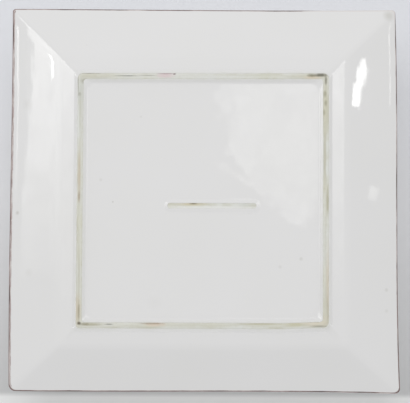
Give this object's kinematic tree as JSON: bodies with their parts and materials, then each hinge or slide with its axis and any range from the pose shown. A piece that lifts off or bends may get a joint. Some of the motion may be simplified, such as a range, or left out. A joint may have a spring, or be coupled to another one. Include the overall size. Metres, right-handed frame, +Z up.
{
  "type": "square serving platter",
  "caption": "Shallow square serving platter in white-glazed earthenware with a flaring rim, a brown enamel line on the lip and a bare foot ring with a short centre bar under it.",
  "frame": {"origin": "centre of the foot ring on the table", "axes": "+Z up, out of the well; X along the centre bar and Y across it, both square to the sides"},
  "size_m": [0.38, 0.38, 0.031],
  "materials": {
    "clay": "bare fired earthenware, matt and lightly stained",
    "white_glaze": "opaque white glaze, glossy and slightly wavy",
    "brown_enamel": "brushed reddish-brown enamel, satin"
  },
  "bodies": {
    "root": {"clay_dish": "clay", "foot_ring": "clay", "centre_bar": "clay", "face_glaze": "white_glaze", "back_glaze": "white_glaze", "panel_glaze": "white_glaze", "lip_line": "brown_enamel"}
  },
  "joints": []
}
